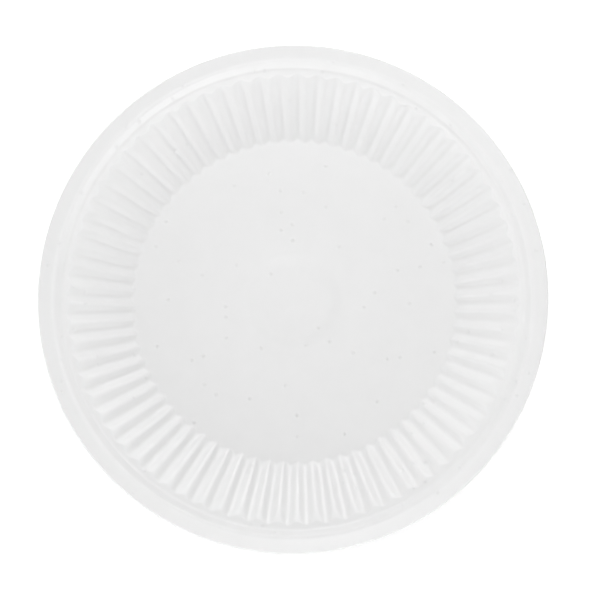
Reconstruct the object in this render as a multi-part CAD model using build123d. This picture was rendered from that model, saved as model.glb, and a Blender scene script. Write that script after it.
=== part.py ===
from build123d import *
import math
import os

# A shallow disposable dinner plate, formed in one piece from a thin sheet of plastic.
# Millimetres, +Z up. The plate rests on a flat ring at z = 0, centred on the Z axis.

# The sheet, and the circle that it is trimmed to.
SHEET = 0.5
PLATE_RADIUS = 110.0

# Well: a flat floor, then a wall that climbs outward to a level shoulder.
FLOOR_RADIUS = 71.2
WALL_TOP_RADIUS = 96.9
WALL_RISE = 13.8

# Flutes pressed into the wall. Ridges reach inward and grooves outward of the two radii
# above. A sheet can't fill a sharp corner of its mould, so the straight flanks stop a
# land's width short of each corner, and a narrow flat joins them.
FLUTE_COUNT = 72
REACH_AT_FLOOR = 1.7
REACH_AT_SHOULDER = 2.0
LAND_AT_FLOOR = 0.45
LAND_AT_SHOULDER = 0.65

# Outside the flutes: a level shoulder, a steep step, a falling rim and a turned-down lip.
# Angles are taken from level. The bends are the radii of the sheet's upper side.
SHOULDER_WIDTH = 0.8
STEP_RISE = 3.7
STEP_ANGLE = 45.0
RIM_FALL_ANGLE = 6.0
LIP_DROP = 2.0
LIP_ANGLE = 80.0
STEP_FOOT_BEND = 0.6
STEP_TOP_BEND = 1.5
LIP_BEND = 0.8

# Floor: flat where it rests, slightly crowned inside that, with a shallow round hollow.
REST_INNER_RADIUS = 63.0
CROWN_RISE = 0.8
HOLLOW_RADIUS = 15.5
HOLLOW_SLOPE_RUN = 6.0
HOLLOW_DEPTH = 0.5

# Levels of the sheet's upper side.
FLOOR_TOP = SHEET
SHOULDER_TOP = FLOOR_TOP + WALL_RISE
CROWN_TOP = FLOOR_TOP + CROWN_RISE

# At a bend the lower side's corner lies this much further out than the upper side's.
WALL_ANGLE = math.atan2(WALL_RISE, WALL_TOP_RADIUS - FLOOR_RADIUS)
CORNER_SHIFT = SHEET * math.tan(WALL_ANGLE / 2)

FLUTE_END_RADIUS = WALL_TOP_RADIUS + REACH_AT_SHOULDER
STEP_FOOT_RADIUS = FLUTE_END_RADIUS + SHOULDER_WIDTH
STEP_TOP_RADIUS = STEP_FOOT_RADIUS + STEP_RISE / math.tan(math.radians(STEP_ANGLE))
LIP_RADIUS = PLATE_RADIUS - LIP_DROP / math.tan(math.radians(LIP_ANGLE))
RIM_FALL = (LIP_RADIUS - STEP_TOP_RADIUS) * math.tan(math.radians(RIM_FALL_ANGLE))
RIM_START_RADIUS = (FLUTE_END_RADIUS + STEP_FOOT_RADIUS) / 2


def corner_of_outline(radius, height, turns):
    """A corner of a fluted outline, placed by the share of a full turn."""
    angle = math.tau * turns
    return Vector(radius * math.cos(angle), radius * math.sin(angle), height)


def fluted_outline(radius, reach, land, height):
    """A level cut through the fluted wall: straight flanks joined by narrow flat lands."""
    corners = []
    for flute in range(FLUTE_COUNT):
        corners.append(corner_of_outline(radius - reach, height, flute / FLUTE_COUNT))
        corners.append(corner_of_outline(radius + reach, height, (flute + 0.5) / FLUTE_COUNT))
    points = []
    for index, corner in enumerate(corners):
        before = (corners[index - 1] - corner).normalized()
        after = (corners[(index + 1) % len(corners)] - corner).normalized()
        points.append(corner + before * land)
        points.append(corner + after * land)
    return Wire.make_polygon(points, close=True)


def fluted_outlines(outward, downward):
    """The outlines at the wall's foot and top, moved to suit one side of the sheet."""
    foot = fluted_outline(FLOOR_RADIUS + outward, REACH_AT_FLOOR, LAND_AT_FLOOR,
                          FLOOR_TOP - downward)
    top = fluted_outline(WALL_TOP_RADIUS + outward, REACH_AT_SHOULDER, LAND_AT_SHOULDER,
                         SHOULDER_TOP - downward)
    return foot, top


def circle_at(radius, height):
    """A level circle about the plate's axis."""
    return Wire.make_circle(radius, Plane.XY.offset(height))


def s_curve(start, end):
    """A smooth change of level in a profile, flat at both ends."""
    middle = (start[0] + end[0]) / 2
    return Bezier(start, (middle, start[1]), (middle, end[1]), end)


def spun(profile):
    """The skin that a profile, drawn as distance and height, sweeps about the axis."""
    return Shell.revolve(Plane.XZ * profile, 360, Axis.Z).faces()


def floor_profile(downward):
    """Centre of the floor, from the axis out to the ring that the plate rests on."""
    hollow_level = CROWN_TOP - HOLLOW_DEPTH - downward
    crown_level = CROWN_TOP - downward
    crown_radius = HOLLOW_RADIUS + HOLLOW_SLOPE_RUN
    hollow = Line((0, hollow_level), (HOLLOW_RADIUS, hollow_level))
    slope = s_curve((HOLLOW_RADIUS, hollow_level), (crown_radius, crown_level))
    crown = Line((crown_radius, crown_level), (REST_INNER_RADIUS, FLOOR_TOP - downward))
    return Wire(hollow.edges() + slope.edges() + crown.edges())


def rim_corners():
    """Corners of the rim's upper side, from the shoulder out to the trimmed edge."""
    step_top = SHOULDER_TOP + STEP_RISE
    return [
        Vector(RIM_START_RADIUS, SHOULDER_TOP),
        Vector(STEP_FOOT_RADIUS, SHOULDER_TOP),
        Vector(STEP_TOP_RADIUS, step_top),
        Vector(LIP_RADIUS, step_top - RIM_FALL),
        Vector(PLATE_RADIUS, step_top - RIM_FALL - LIP_DROP),
    ]


def under_side(corners):
    """The same corners on the sheet's lower side, mitred so that its thickness holds."""
    sides = []
    for start, end in zip(corners, corners[1:]):
        along = (end - start).normalized()
        sides.append(Vector(along.Y, -along.X))
    moved = [corners[0] + sides[0] * SHEET]
    for corner, before, after in zip(corners[1:], sides, sides[1:]):
        moved.append(corner + (before + after) * (SHEET / (1 + before.dot(after))))
    moved.append(corners[-1] + sides[-1] * SHEET)
    return moved


def rim_profile():
    """Both sides of the step, rim and lip, joined by the trimmed edge."""
    upper = rim_corners()
    lower = under_side(upper)
    over = FilletPolyline(*upper, radius=[STEP_FOOT_BEND, STEP_TOP_BEND, LIP_BEND])
    trim = Line(upper[-1], lower[-1])
    inside_lip = Line(lower[-1], lower[-2])
    under_bends = [STEP_TOP_BEND - SHEET, STEP_FOOT_BEND + SHEET]
    under = FilletPolyline(*reversed(lower[:-1]), radius=under_bends)
    return Wire(over.edges() + trim.edges() + inside_lip.edges() + under.edges())


def sheet_side(outward, downward):
    """One side of the sheet, from the axis to the shoulder."""
    foot, top = fluted_outlines(outward, downward)
    rest_edge = circle_at(REST_INNER_RADIUS, FLOOR_TOP - downward)
    shoulder_edge = circle_at(RIM_START_RADIUS, SHOULDER_TOP - downward)
    faces = spun(floor_profile(downward))
    faces.append(Face(foot, [rest_edge]))
    faces.extend(Shell.make_loft([foot, top], ruled=True).faces())
    faces.append(Face(shoulder_edge, [top]))
    return faces


def plate():
    """The plate: its upper side, its lower side, and the rim that closes them."""
    upper_side = sheet_side(0, 0)
    lower_side = sheet_side(CORNER_SHIFT, SHEET)
    rim = spun(rim_profile())
    return Solid(Shell(upper_side + lower_side + rim))


os.makedirs("parts", exist_ok=True)
export_step(plate(), "parts/plate.step")
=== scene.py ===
# %% [markdown]
# # A fluted disposable plate
# The plate is one thin sheet of white plastic. A heated sheet is drawn over a mould, so
# every form on its upper side shows on its lower side too. This lesson takes the measured
# model as its frame, makes a finer plate over it, and gives it a satin white plastic.

# %% Load the frame
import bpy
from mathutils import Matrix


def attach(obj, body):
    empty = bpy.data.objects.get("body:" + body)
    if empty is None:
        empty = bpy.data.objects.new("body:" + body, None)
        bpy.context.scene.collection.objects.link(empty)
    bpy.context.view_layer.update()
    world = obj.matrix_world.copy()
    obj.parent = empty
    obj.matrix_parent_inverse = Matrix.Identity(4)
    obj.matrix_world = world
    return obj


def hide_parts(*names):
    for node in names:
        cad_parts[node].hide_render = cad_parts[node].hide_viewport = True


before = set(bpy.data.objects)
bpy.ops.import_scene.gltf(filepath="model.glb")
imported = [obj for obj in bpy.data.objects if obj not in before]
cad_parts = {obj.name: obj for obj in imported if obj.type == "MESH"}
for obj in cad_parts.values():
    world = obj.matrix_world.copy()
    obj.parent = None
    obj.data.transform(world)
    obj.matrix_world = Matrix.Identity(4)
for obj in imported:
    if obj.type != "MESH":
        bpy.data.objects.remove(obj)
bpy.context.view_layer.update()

# %% [markdown]
# The steps below use Blender's own modules, and sizes in millimetres, because that is how
# a plate is drawn. MM turns a size into Blender's metres.

# %% Modules and unit
import math

import bpy
import bmesh
from mathutils import Matrix, Vector

MM = 0.001

# %% [markdown]
# These are the sizes of the measured part. The upper side of the sheet is drawn first,
# and the lower side comes from the sheet's thickness at the end. Ridges of the flutes
# reach inward and grooves outward, a little further at the shoulder than at the floor.
# Two sizes differ a little. The step is five degrees steeper, since the rim looks that much
# wider. The floor is about a millimetre smaller, since the flutes' shallow feet start later
# than sharp ones would.

# %% Sizes of the plate
SHEET = 0.5
PLATE_RADIUS = 110.0
FLUTE_COUNT = 72
FLOOR_RADIUS = 70.3
WALL_TOP_RADIUS = 96.9
WALL_RISE = 13.8
REACH_AT_FLOOR = 1.7
REACH_AT_SHOULDER = 2.0
SHOULDER_WIDTH = 0.8
STEP_RISE = 3.7
STEP_ANGLE = 50.0
RIM_FALL_ANGLE = 6.0
LIP_DROP = 2.0
LIP_ANGLE = 80.0
CROWN_RISE = 0.8
HOLLOW_RADIUS = 15.5
HOLLOW_SLOPE_RUN = 6.0
HOLLOW_DEPTH = 0.5

FLOOR_TOP = SHEET
SHOULDER_TOP = FLOOR_TOP + WALL_RISE
CROWN_TOP = FLOOR_TOP + CROWN_RISE
HOLLOW_TOP = CROWN_TOP - HOLLOW_DEPTH
FLUTE_END_RADIUS = WALL_TOP_RADIUS + REACH_AT_SHOULDER
STEP_FOOT_RADIUS = FLUTE_END_RADIUS + SHOULDER_WIDTH
STEP_TOP = SHOULDER_TOP + STEP_RISE
STEP_TOP_RADIUS = STEP_FOOT_RADIUS + STEP_RISE / math.tan(math.radians(STEP_ANGLE))
LIP_RADIUS = PLATE_RADIUS - LIP_DROP / math.tan(math.radians(LIP_ANGLE))
RIM_FALL = (LIP_RADIUS - STEP_TOP_RADIUS) * math.tan(math.radians(RIM_FALL_ANGLE))
print("the flutes end at radius", round(FLUTE_END_RADIUS, 2), "and the step tops out at",
      round(STEP_TOP_RADIUS, 2))

# %% [markdown]
# The plate starts as a small disc at the middle of the floor. An operator works on all
# that is selected, so everything is deselected before the disc is added. The disc has
# eight columns of faces for each flute, and every later ring keeps them in line.

# %% Start with a disc
COLUMNS_PER_FLUTE = 8
COLUMNS = FLUTE_COUNT * COLUMNS_PER_FLUTE
DISC_RADIUS = 4.0

for thing in bpy.context.selected_objects:
    thing.select_set(False)
bpy.ops.mesh.primitive_circle_add(
    vertices=COLUMNS, radius=DISC_RADIUS * MM, fill_type="TRIFAN",
    location=(0, 0, HOLLOW_TOP * MM))
plate = bpy.context.object
plate.name = "plate_sheet"
bpy.ops.object.transform_apply(location=True, rotation=True, scale=True)
bpy.ops.object.mode_set(mode="EDIT")
bpy.ops.mesh.select_mode(type="VERT")
bpy.ops.mesh.select_all(action="SELECT")
bpy.ops.mesh.region_to_loop()
outer_ring = {"radius": DISC_RADIUS, "height": HOLLOW_TOP, "reach": 0.0}
print("columns round the plate", COLUMNS)

# %% [markdown]
# A flute has a rounded ridge and a rounded groove, with straight flanks between them. So
# three columns of vertices make the curve of each tip, and one stands halfway along each
# flank. These shares say where in its flute a column stands, from 0 on a ridge through 0.5
# in a groove. They also find the columns again on any later ring, as a hand would pick
# them with "select every nth".

# %% Find the columns of a ring
TIP_SHARE = 0.13
COLUMN_SHARES = (0, TIP_SHARE, 0.25, 0.5 - TIP_SHARE,
                 0.5, 0.5 + TIP_SHARE, 0.75, 1 - TIP_SHARE)


def column_sets(ring):
    """Sorts the vertices of a ring into the columns of a flute, a ridge's column first."""
    sets = [[] for share in COLUMN_SHARES]
    for vertex in ring:
        turns = math.atan2(vertex.co.y, vertex.co.x) / math.tau
        misses = [abs(math.remainder(turns * FLUTE_COUNT - share, 1))
                  for share in COLUMN_SHARES]
        sets[misses.index(min(misses))].append(vertex)
    return sets


def select_only(vertices):
    """Leaves just these vertices selected in edit mode."""
    bpy.ops.mesh.select_all(action="DESELECT")
    for vertex in vertices:
        vertex.select = True


# %% [markdown]
# The disc's columns are still evenly spaced. The columns beside each tip are picked and
# turned a little about the plate's axis, until they stand at their share. Rotate gets its
# centre by name, because there is no cursor to turn about.

# %% Set the columns beside the tips
sheet = bmesh.from_edit_mesh(plate.data)
first_ring = [vertex for vertex in sheet.verts if vertex.select]
for column, vertices in enumerate(column_sets(first_ring)):
    shift = COLUMN_SHARES[column] - column / COLUMNS_PER_FLUTE
    select_only(vertices)
    bpy.ops.transform.rotate(value=-shift * math.tau / FLUTE_COUNT, orient_axis="Z",
                             center_override=(0, 0, 0))
for vertex in first_ring:
    vertex.select = True
sheet.select_flush(True)
bmesh.update_edit_mesh(plate.data)
shares = [math.atan2(vertices[0].co.y, vertices[0].co.x) / math.tau * FLUTE_COUNT % 1
          for vertices in column_sets(first_ring)]
print("the columns of a flute stand at", [round(share, 3) for share in shares])

# %% [markdown]
# Each ring of the plate is made from the last one, as a turned form is drawn by hand. The
# ring's edges are extruded, and the copy is scaled out to its radius and moved to its
# height. The new ring stays selected, so the next call carries on from it.

# %% Grow the sheet by one ring
def grow_ring(radius, height):
    """Extrudes the selected ring to a new distance from the axis and a new height."""
    bpy.ops.mesh.extrude_region_move()
    growth = radius / outer_ring["radius"]
    bpy.ops.transform.resize(value=(growth, growth, 1), center_override=(0, 0, 0))
    lift = height - outer_ring["height"]
    bpy.ops.transform.translate(value=(0, 0, lift * MM))
    outer_ring["radius"] = radius
    outer_ring["height"] = height
    outer_ring["reach"] *= growth


# %% [markdown]
# In the middle of the floor is a shallow round hollow with a soft edge. A cosine makes its
# change of level start and end flat, so no line shows where it begins.

# %% Draw the hollow
HOLLOW_STEPS = 8

grow_ring(HOLLOW_RADIUS, HOLLOW_TOP)
for step in range(1, HOLLOW_STEPS + 1):
    share = step / HOLLOW_STEPS
    eased = (1 - math.cos(math.pi * share)) / 2
    grow_ring(HOLLOW_RADIUS + HOLLOW_SLOPE_RUN * share,
              HOLLOW_TOP + (CROWN_TOP - HOLLOW_TOP) * eased)
print("the hollow's edge is at radius", outer_ring["radius"])

# %% [markdown]
# Around the hollow the floor falls to the ring that the plate stands on. The fall steepens
# towards the wall, as it does on a sheet that has sprung up a little in cooling. It is less
# than a millimetre, but the satin skin shows it: the floor's sides mirror another part of
# the studio than its middle does.

# %% Draw the crowned floor
CROWN_END = 68.0
CROWN_STEPS = 9

crown_start = outer_ring["radius"]
for step in range(1, CROWN_STEPS + 1):
    share = step / CROWN_STEPS
    grow_ring(crown_start + (CROWN_END - crown_start) * share,
              FLOOR_TOP + CROWN_RISE * (1 - share * share))
print("the plate stands on the floor from radius", outer_ring["radius"])

# %% [markdown]
# A formed sheet has no sharp corners, so each bend of the profile is a small arc. This
# helper rounds one corner between two straight runs, by the rule that a draughtsman's
# fillet follows, and gives the points of the arc.

# %% Round a corner of the profile
def rounded_corner(before, corner, after, bend, steps=5):
    """Points of the arc of radius bend that touches both runs at a corner."""
    before, corner, after = Vector(before), Vector(corner), Vector(after)
    back = (before - corner).normalized()
    ahead = (after - corner).normalized()
    half_angle = back.angle(ahead) / 2
    setback = bend / math.tan(half_angle)
    centre = corner + (back + ahead).normalized() * (bend / math.sin(half_angle))
    start = corner + back * setback - centre
    end = corner + ahead * setback - centre
    turn = math.atan2(start.x * end.y - start.y * end.x, start.dot(end))
    return [centre + Matrix.Rotation(turn * step / steps, 2) @ start
            for step in range(steps + 1)]


# %% [markdown]
# Seen from above, the wall is a zigzag: ridges reach towards the centre and grooves away
# from it. A ring is pushed into that zigzag one set of columns at a time, with the same
# scaling that a hand would use. At its tips the zigzag bends over in a curve, because the
# sheet can't follow a sharp corner of the mould. FLANK_SLOPE takes a flank from one sharp
# corner to the next, which is from -1 to 1 in half a flute.

# %% Push a ring into flutes
FLANK_SLOPE = 4


def flute_wave(share):
    """Below nought on a ridge and above it in a groove, straight except at the tips."""
    from_ridge = abs(share - round(share))
    from_tip = min(from_ridge, 0.5 - from_ridge)
    side = -1 if from_ridge < 0.25 else 1
    if from_tip >= TIP_SHARE:
        return side * (1 - FLANK_SLOPE * from_tip)
    sunk = FLANK_SLOPE * (TIP_SHARE + from_tip * from_tip / TIP_SHARE) / 2
    return side * (1 - sunk)


def push_flutes(reach):
    """Gives the selected ring flutes of this reach, and 0 makes it round again."""
    sheet = bmesh.from_edit_mesh(plate.data)
    ring = [vertex for vertex in sheet.verts if vertex.select]
    for column, vertices in enumerate(column_sets(ring)):
        wave = flute_wave(COLUMN_SHARES[column])
        growth = ((outer_ring["radius"] + reach * wave)
                  / (outer_ring["radius"] + outer_ring["reach"] * wave))
        select_only(vertices)
        bpy.ops.transform.resize(value=(growth, growth, 1), center_override=(0, 0, 0))
    for vertex in ring:
        vertex.select = True
    sheet.select_flush(True)
    bmesh.update_edit_mesh(plate.data)
    outer_ring["reach"] = reach


waves = [round(flute_wave(share), 2) for share in COLUMN_SHARES]
print("one flute's columns", waves)

# %% [markdown]
# The wall climbs from the floor to a level shoulder. The first fluted ring lies on the
# floor, where the wall's bend begins. After it, each ring is extruded and scaled, and its
# flutes are set to the reach that they have at that distance. A stiff sheet can't bend two
# ways at once in a corner, so the pleats are shallow at the wall's foot and top and deep
# between them. That gives every pleat the rounded ends of a finger. The rings stand
# closest where the depth changes.

# %% Draw the fluted wall
FOOT_BEND = 3.0
TOP_BEND = 2.0
END_DEPTH = 0.6
MIDDLE_DEPTH = 1.25
FADE_SHARE = 0.15
WALL_CLIMBS = (0.07, 0.11, 0.16, 0.3, 0.5, 0.7, 0.84, 0.89, 0.93)

floor_start = (CROWN_END, FLOOR_TOP)
wall_foot = Vector((FLOOR_RADIUS, FLOOR_TOP))
wall_top = Vector((WALL_TOP_RADIUS, SHOULDER_TOP))
shoulder_end = (STEP_FOOT_RADIUS, SHOULDER_TOP)


def grow_fluted_ring(radius, height):
    """Grows a ring of the wall, with the reach that suits its distance from the axis."""
    grow_ring(radius, height)
    climb = (radius - FLOOR_RADIUS) / (WALL_TOP_RADIUS - FLOOR_RADIUS)
    climb = min(max(climb, 0.0), 1.0)
    reach = REACH_AT_FLOOR + (REACH_AT_SHOULDER - REACH_AT_FLOOR) * climb
    inward = min(climb, 1 - climb, FADE_SHARE) / FADE_SHARE
    eased = (1 - math.cos(math.pi * inward)) / 2
    push_flutes(reach * (END_DEPTH + (MIDDLE_DEPTH - END_DEPTH) * eased))


foot_arc = rounded_corner(floor_start, wall_foot, wall_top, FOOT_BEND)
top_arc = rounded_corner(wall_foot, wall_top, shoulder_end, TOP_BEND)
for point in foot_arc:
    grow_fluted_ring(*point)
for climb in WALL_CLIMBS:
    grow_fluted_ring(*wall_foot.lerp(wall_top, climb))
for point in top_arc:
    grow_fluted_ring(*point)
print("fluted rings end at height", round(outer_ring["height"], 2))

# %% [markdown]
# A narrow level shoulder parts the flutes from the rim. The last fluted ring is joined to
# a round one, so that each pleat runs out in a small level triangle. Everything outside
# this ring is simply round.

# %% Draw the shoulder
SHOULDER_START = 98.45

bpy.ops.mesh.extrude_region_move()
push_flutes(0.0)
growth = SHOULDER_START / outer_ring["radius"]
bpy.ops.transform.resize(value=(growth, growth, 1), center_override=(0, 0, 0))
outer_ring["radius"] = SHOULDER_START
print("the shoulder is round from radius", round(SHOULDER_START, 2))

# %% [markdown]
# Outside the shoulder the sheet steps up steeply, turns over into the rim, falls a little
# and ends in a lip that is turned down. The lip stiffens the rim and keeps the trimmed
# edge away from the hand.

# %% Draw the step, the rim and the lip
STEP_FOOT_BEND = 2.5
STEP_TOP_BEND = 2.5
LIP_BEND = 0.8

shoulder_start = (SHOULDER_START, SHOULDER_TOP)
step_foot = (STEP_FOOT_RADIUS, SHOULDER_TOP)
step_top = (STEP_TOP_RADIUS, STEP_TOP)
lip_top = (LIP_RADIUS, STEP_TOP - RIM_FALL)
lip_end = (PLATE_RADIUS, STEP_TOP - RIM_FALL - LIP_DROP)

foot_of_step = rounded_corner(shoulder_start, step_foot, step_top, STEP_FOOT_BEND)
top_of_step = rounded_corner(step_foot, step_top, lip_top, STEP_TOP_BEND, steps=7)
bend_of_lip = rounded_corner(step_top, lip_top, lip_end, LIP_BEND, steps=6)
for point in foot_of_step + top_of_step + bend_of_lip:
    grow_ring(*point)
grow_ring(*lip_end)
bpy.ops.object.mode_set(mode="OBJECT")
print("faces on the upper side", len(plate.data.polygons))

# %% [markdown]
# The lower side is the upper side moved by the sheet's thickness, which is what Solidify
# does. Its even offset keeps the thickness true on the flanks and in the bends.

# %% Give the sheet its thickness
thickness = plate.modifiers.new("sheet", "SOLIDIFY")
thickness.thickness = SHEET * MM
thickness.offset = -1
thickness.use_even_offset = True
bpy.ops.object.modifier_apply(modifier=thickness.name)

lowest = min(vertex.co.z for vertex in plate.data.vertices)
highest = max(vertex.co.z for vertex in plate.data.vertices)
print("the sheet spans heights", round(lowest / MM, 3), "to", round(highest / MM, 3), "mm")

# %% [markdown]
# The plate is punched out of its sheet after forming, which leaves a cut edge round the
# lip. A real cut is never quite sharp, and a very small bevel gives it the thin line of
# light that a cut edge catches.

# %% Break the trimmed edge
TRIM_BEVEL = 0.07
TRIM_SEGMENTS = 2
TRIM_CORNER = math.radians(60)

bpy.ops.object.mode_set(mode="EDIT")
bpy.ops.mesh.select_mode(type="EDGE")
bpy.ops.mesh.select_all(action="DESELECT")
sheet = bmesh.from_edit_mesh(plate.data)
trim_edges = [edge for edge in sheet.edges
              if len(edge.link_faces) == 2 and edge.calc_face_angle() > TRIM_CORNER]
for edge in trim_edges:
    edge.select = True
sheet.select_flush_mode()
bmesh.update_edit_mesh(plate.data)
bpy.ops.mesh.bevel(offset=TRIM_BEVEL * MM, offset_type="OFFSET", segments=TRIM_SEGMENTS,
                   affect="EDGES")
bpy.ops.object.mode_set(mode="OBJECT")
print("bevelled", len(trim_edges), "edges round the lip")

# %% [markdown]
# Smooth shading blends neighbouring faces into one skin. Edges sharper than a set angle
# stay sharp. Weighted normals give large faces more say in that blend, so the flanks of
# the flutes look straight and only the tips between them look rounded.

# %% Shade it smooth
SMOOTH_BELOW = math.radians(50)

bpy.ops.object.shade_smooth_by_angle(angle=SMOOTH_BELOW)
weighted = plate.modifiers.new("crisp_tips", "WEIGHTED_NORMAL")
weighted.mode = "FACE_AREA"
weighted.keep_sharp = True
bpy.ops.object.modifier_apply(modifier=weighted.name)
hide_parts("plate")
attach(plate, "root")
triangles = sum(len(face.vertices) - 2 for face in plate.data.polygons)
print("the finished sheet has", triangles, "triangles")

# %% [markdown]
# The plastic is white all through, with a satin skin that it takes from its mould. One
# Principled shader gives both: a pale, neutral base colour for the body, and a middling
# roughness for the skin. The colour stays below full white, as real white plastic does,
# so that the light side of the flutes keeps its shape. Light enters such a thin sheet and
# comes out again a little way off. A small share of subsurface light does the same, and
# it softens the lines where two flanks meet. The pattern nodes all read Object
# coordinates, so the patterns stay fixed to the plate from every side.

# %% Start the plastic
PLASTIC_IOR = 1.59
SUBSURFACE_SHARE = 0.35
SUBSURFACE_REACH = 1.2
NOISE_MIDDLE = (0.3, 0.7)

plastic = bpy.data.materials.new("satin_white_plastic")
plastic.use_nodes = True
nodes = plastic.node_tree.nodes
links = plastic.node_tree.links
skin = nodes["Principled BSDF"]
skin.inputs["IOR"].default_value = PLASTIC_IOR
skin.inputs["Subsurface Weight"].default_value = SUBSURFACE_SHARE
skin.inputs["Subsurface Radius"].default_value = (1, 1, 1)
skin.inputs["Subsurface Scale"].default_value = SUBSURFACE_REACH * MM
place = nodes.new("ShaderNodeTexCoord")


def noise(size, detail, title):
    """A soft pattern whose blotches are about this many millimetres wide."""
    pattern = nodes.new("ShaderNodeTexNoise")
    pattern.label = title
    pattern.inputs["Scale"].default_value = 1 / (size * MM)
    pattern.inputs["Detail"].default_value = detail
    links.new(place.outputs["Object"], pattern.inputs["Vector"])
    return pattern.outputs["Fac"]


def spread(value, low, high, title):
    """Stretches the middle of a noise, where most of its values lie, between two values."""
    span = nodes.new("ShaderNodeMapRange")
    span.label = title
    span.inputs["From Min"].default_value = NOISE_MIDDLE[0]
    span.inputs["From Max"].default_value = NOISE_MIDDLE[1]
    span.inputs["To Min"].default_value = low
    span.inputs["To Max"].default_value = high
    links.new(value, span.inputs["Value"])
    return span.outputs["Result"]


print("the plastic starts as", plastic.name)

# %% [markdown]
# A sheet this thin doesn't stretch evenly, and thinner places look a trace darker because
# less white lies in them. A broad, faint noise mixes two whites that differ by only one
# hundredth. The skin's gloss wanders as well, since the mould isn't polished evenly.

# %% Cloud the colour and the gloss
THICKER_WHITE = (0.806, 0.806, 0.806, 1)
THINNER_WHITE = (0.796, 0.796, 0.796, 1)
STRETCH_SIZE = 9
POLISH_SIZE = 14
SMOOTHER_SKIN = 0.29
ROUGHER_SKIN = 0.33

whites = nodes.new("ShaderNodeMix")
whites.data_type = "RGBA"
whites.label = "thinner to thicker sheet"
whites.inputs["A"].default_value = THINNER_WHITE
whites.inputs["B"].default_value = THICKER_WHITE
stretch = noise(STRETCH_SIZE, 3, "stretch of the sheet")
links.new(spread(stretch, 0, 1, "stretch"), whites.inputs["Factor"])
polish = noise(POLISH_SIZE, 2, "polish of the mould")
links.new(spread(polish, SMOOTHER_SKIN, ROUGHER_SKIN, "gloss"), skin.inputs["Roughness"])
print("the whites run from", THINNER_WHITE[0], "to", THICKER_WHITE[0])

# %% [markdown]
# Dust between sheet and mould leaves a few pimples, each about two millimetres wide. A
# flat Voronoi pattern gives one point to each cell, and the red in the cell's random colour
# picks the few cells that keep theirs. The same mask darkens the pimple a little and lifts
# it in the bump, so both stay together.

# %% Scatter a few pimples
PIMPLE_SPACING = 5.0
PIMPLE_RADIUS = 1.1
PIMPLE_CHANCE = 0.09
PIMPLE_GREY = (0.78, 0.78, 0.78, 1)

cells = nodes.new("ShaderNodeTexVoronoi")
cells.label = "pimple places"
cells.voronoi_dimensions = "2D"
cells.inputs["Scale"].default_value = 1 / (PIMPLE_SPACING * MM)
links.new(place.outputs["Object"], cells.inputs["Vector"])
mound = nodes.new("ShaderNodeMapRange")
mound.interpolation_type = "SMOOTHSTEP"
mound.label = "mound"
mound.inputs["From Min"].default_value = 0.0
mound.inputs["From Max"].default_value = PIMPLE_RADIUS / PIMPLE_SPACING
mound.inputs["To Min"].default_value = 1.0
mound.inputs["To Max"].default_value = 0.0
links.new(cells.outputs["Distance"], mound.inputs["Value"])
chosen = nodes.new("ShaderNodeMath")
chosen.operation = "LESS_THAN"
chosen.label = "chosen cells"
chosen.inputs[1].default_value = PIMPLE_CHANCE
draw = nodes.new("ShaderNodeSeparateColor")
draw.label = "random number of a cell"
links.new(cells.outputs["Color"], draw.inputs["Color"])
links.new(draw.outputs["Red"], chosen.inputs[0])
pimples = nodes.new("ShaderNodeMath")
pimples.operation = "MULTIPLY"
pimples.label = "pimples"
links.new(mound.outputs["Result"], pimples.inputs[0])
links.new(chosen.outputs["Value"], pimples.inputs[1])
speckled = nodes.new("ShaderNodeMix")
speckled.data_type = "RGBA"
speckled.label = "pimples on white"
speckled.inputs["B"].default_value = PIMPLE_GREY
links.new(pimples.outputs["Value"], speckled.inputs["Factor"])
links.new(whites.outputs["Result"], speckled.inputs["A"])
links.new(speckled.outputs["Result"], skin.inputs["Base Color"])
print("about one cell in", round(1 / PIMPLE_CHANCE), "keeps its pimple")

# %% [markdown]
# Three bumps shape the light on the skin. A gentle unevenness, a few millimetres wide, is
# left from the way a thin sheet cools. Over it lies the fine stipple of the mould. Both
# are shallow, because the flutes and bends themselves are real geometry. The last bump
# raises the pimples.

# %% Give the skin its texture
UNEVEN_SIZE = 6
UNEVEN_DEPTH = 0.01
STIPPLE_SIZE = 0.9
STIPPLE_DEPTH = 0.003
PIMPLE_HEIGHT = 0.2


def bump(height, depth, below, title):
    """Adds a bump of this depth in millimetres over the normal of another one."""
    relief = nodes.new("ShaderNodeBump")
    relief.label = title
    relief.inputs["Distance"].default_value = depth * MM
    links.new(height, relief.inputs["Height"])
    if below is not None:
        links.new(below, relief.inputs["Normal"])
    return relief.outputs["Normal"]


cooling = noise(UNEVEN_SIZE, 1, "cooling of the sheet")
uneven = bump(cooling, UNEVEN_DEPTH, None, "unevenness")
stippled = bump(noise(STIPPLE_SIZE, 2, "stipple"), STIPPLE_DEPTH, uneven, "stipple")
pimpled = bump(pimples.outputs["Value"], PIMPLE_HEIGHT, stippled, "pimples")
links.new(pimpled, skin.inputs["Normal"])
plate.data.materials.clear()
plate.data.materials.append(plastic)
print("the plastic has", len(nodes), "nodes")

# %% [markdown]
# The plate lies on a plain white table, which is the scene's floor and no part of the
# plate. Its shader is a matt white that takes the plate's shadow. To the camera, and in
# mirrored or refracted rays, it also glows a little, so that it shows as the pure white of
# the photograph. The glow isn't seen by the plate's own diffuse light, so it adds nothing
# to the plastic.

# %% Lay out the table
TABLE_WIDTH = 6.0
TABLE_GAP = 0.05
TABLE_GREY = (0.8, 0.8, 0.8, 1)
TABLE_GLOW = 0.5

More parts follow.
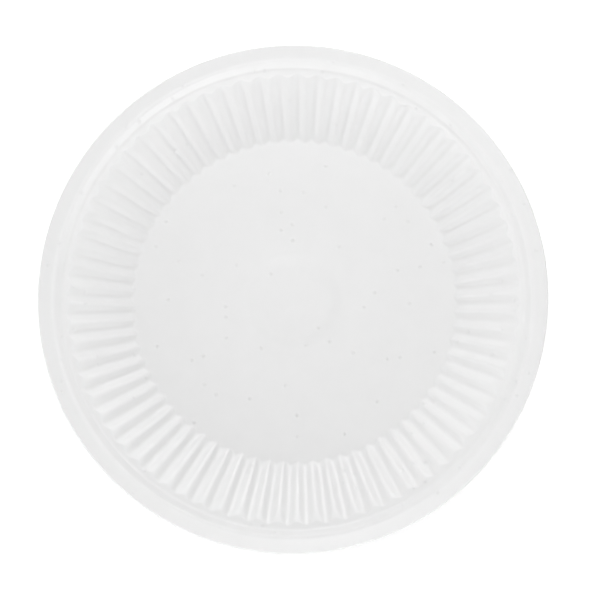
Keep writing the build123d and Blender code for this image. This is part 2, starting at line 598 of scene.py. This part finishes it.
bpy.ops.object.select_all(action="DESELECT")
bpy.ops.mesh.primitive_plane_add(size=TABLE_WIDTH, location=(0, 0, -TABLE_GAP * MM))
table = bpy.context.object
table.name = "table"
table_white = bpy.data.materials.new("white_table")
table_white.use_nodes = True
nodes = table_white.node_tree.nodes
links = table_white.node_tree.links
nodes.clear()
matt = nodes.new("ShaderNodeBsdfDiffuse")
matt.inputs["Color"].default_value = TABLE_GREY
glow = nodes.new("ShaderNodeEmission")
shown = nodes.new("ShaderNodeAddShader")
surface = nodes.new("ShaderNodeOutputMaterial")
links.new(matt.outputs["BSDF"], shown.inputs[0])
links.new(glow.outputs["Emission"], shown.inputs[1])
links.new(shown.outputs["Shader"], surface.inputs["Surface"])


def direct_view(tree):
    """One for camera, glossy and transmission rays, and nought for all others."""
    ray = tree.nodes.new("ShaderNodeLightPath")
    seen = ray.outputs["Is Camera Ray"]
    for kind in ("Is Glossy Ray", "Is Transmission Ray"):
        either = tree.nodes.new("ShaderNodeMath")
        either.operation = "MAXIMUM"
        tree.links.new(seen, either.inputs[0])
        tree.links.new(ray.outputs[kind], either.inputs[1])
        seen = either.outputs["Value"]
    return seen


level = nodes.new("ShaderNodeMath")
level.operation = "MULTIPLY"
level.inputs[1].default_value = TABLE_GLOW
links.new(direct_view(table_white.node_tree), level.inputs[0])
links.new(level.outputs["Value"], glow.inputs["Strength"])
table.data.materials.append(table_white)
print("the table is", TABLE_WIDTH, "metres wide")

# %% [markdown]
# The studio is a white room with soft light from all round. To the camera, and in mirrored
# or refracted rays, it is the plain white of the picture. For diffuse light the room is
# dimmer than the lamps, so that the flutes have a light and a dark flank.

# %% Paint the room
ROOM_LIGHT = 0.15

room = bpy.data.worlds.new("white_room")
room.use_nodes = True
nodes = room.node_tree.nodes
links = room.node_tree.links
nodes.clear()
soft_light = nodes.new("ShaderNodeBackground")
soft_light.inputs["Color"].default_value = (1, 1, 1, 1)
soft_light.inputs["Strength"].default_value = ROOM_LIGHT
white_wall = nodes.new("ShaderNodeBackground")
white_wall.inputs["Color"].default_value = (1, 1, 1, 1)
white_wall.inputs["Strength"].default_value = 1.0
choice = nodes.new("ShaderNodeMixShader")
around = nodes.new("ShaderNodeOutputWorld")
links.new(direct_view(room.node_tree), choice.inputs["Fac"])
links.new(soft_light.outputs["Background"], choice.inputs[1])
links.new(white_wall.outputs["Background"], choice.inputs[2])
links.new(choice.outputs["Shader"], around.inputs["Surface"])
bpy.context.scene.world = room
print("the room's light has strength", ROOM_LIGHT)

# %% [markdown]
# Soft panels round the plate do most of the lighting. A lamp's power is worked out from
# its brightness and its area, so that a panel can be made larger without its light growing
# harsher. The camera doesn't see the panels themselves.

# %% Build a soft panel
def hang_panel(name, azimuth, elevation, distance, width, height, brightness):
    """Hangs a soft rectangular lamp that faces the plate, with angles in degrees."""
    light = bpy.data.lights.new(name, "AREA")
    light.shape = "RECTANGLE"
    light.size = width
    light.size_y = height
    light.energy = brightness * width * height * math.pi
    level = math.cos(math.radians(elevation))
    towards = Vector((level * math.cos(math.radians(azimuth)),
                      level * math.sin(math.radians(azimuth)),
                      math.sin(math.radians(elevation))))
    lamp = bpy.data.objects.new(name, light)
    lamp.location = towards * distance
    lamp.rotation_mode = "QUATERNION"
    lamp.rotation_quaternion = towards.to_track_quat("Z", "Y")
    lamp.visible_camera = False
    bpy.context.scene.collection.objects.link(lamp)


# %% [markdown]
# The panels stand in rows round the plate, as the walls and roof of a light tent do. The
# table gives each row's elevation, the size of its panels, and their brightness by azimuth.
# Panels in front, from 180 to 360 degrees, light both flanks of every flute on the far
# side, so those flutes almost vanish. Panels behind light one flank of each near flute and
# leave the other one darker, which is what shows the flutes. A wide panel overhead and a
# small bright one beside it light the floor.

# %% Hang the panels
PANEL_ROWS = (
    (8, (0.55, 0.22), {90: 1.7, 120: 0.8, 210: 3.8, 240: 2.8, 270: 1.8, 300: 4.1, 330: 4.0}),
    (21, (0.55, 0.24), {0: 0.3, 30: 0.3, 180: 2.0, 240: 1.4, 270: 2.7, 300: 1.0}),
    (36, (0.55, 0.3), {0: 0.8, 60: 2.4, 90: 3.8, 120: 1.5, 180: 1.9, 210: 0.2}),
    (54, (0.6, 0.36), {45: 1.9}),
    (74, (0.6, 0.36), {90: 0.3}),
)
ROW_DISTANCE = 1.0
ROOF_DISTANCE = 1.4

for elevation, (width, height), row in PANEL_ROWS:
    for azimuth, brightness in row.items():
        hang_panel(f"panel_{elevation}_{azimuth}", azimuth, elevation, ROW_DISTANCE,
                   width, height, brightness)
hang_panel("roof_panel", azimuth=0, elevation=90, distance=ROOF_DISTANCE,
           width=0.9, height=0.9, brightness=1.3)
hang_panel("roof_window", azimuth=270, elevation=80, distance=ROOF_DISTANCE,
           width=0.2, height=0.4, brightness=4.6)

# %% [markdown]
# The photograph was taken from nearly overhead, a little towards one side. The picture
# gives the plate's centre and radius in pixels. From those the lens follows, once the
# camera's distance is set. PHASE turns the plate's first flute to where it is seen.

# %% Aim the camera
IMAGE_PIXELS = 600
CENTRE_PIXEL = (291.9, 297.5)
RADIUS_PIXELS = 256.2
TILT = math.radians(6.5)
TILT_SIDE = math.radians(29.0)
PHASE = math.radians(1.24)
DISTANCE = 1.5
SENSOR_WIDTH = 36.0

picture_right = Vector((math.cos(PHASE), -math.sin(PHASE), 0))
picture_up = Vector((math.sin(PHASE), math.cos(PHASE), 0))
lean = picture_right * math.sin(TILT_SIDE) - picture_up * math.cos(TILT_SIDE)
back = Vector((0, 0, 1)) * math.cos(TILT) + lean * math.sin(TILT)
camera_up = (picture_up - back * picture_up.dot(back)).normalized()
camera_right = camera_up.cross(back).normalized()

pixel = PLATE_RADIUS * MM / RADIUS_PIXELS
across = (IMAGE_PIXELS / 2 - CENTRE_PIXEL[0]) * pixel
along = (IMAGE_PIXELS / 2 - CENTRE_PIXEL[1]) * pixel
rim_centre = Vector((0, 0, (STEP_TOP - RIM_FALL) * MM))
aim = rim_centre + camera_right * across - camera_up * along

camera_data = bpy.data.cameras.new("camera")
camera_data.sensor_width = SENSOR_WIDTH
camera_data.lens = SENSOR_WIDTH * DISTANCE / (IMAGE_PIXELS * pixel)
camera = bpy.data.objects.new("camera", camera_data)
camera.location = aim + back * DISTANCE
camera.rotation_mode = "QUATERNION"
turned = Matrix((camera_right, camera_up, back)).transposed()
camera.rotation_quaternion = turned.to_quaternion()
bpy.context.scene.collection.objects.link(camera)
bpy.context.scene.camera = camera
bpy.context.scene.view_settings.view_transform = "Standard"
print("the lens is", round(camera_data.lens), "mm long")
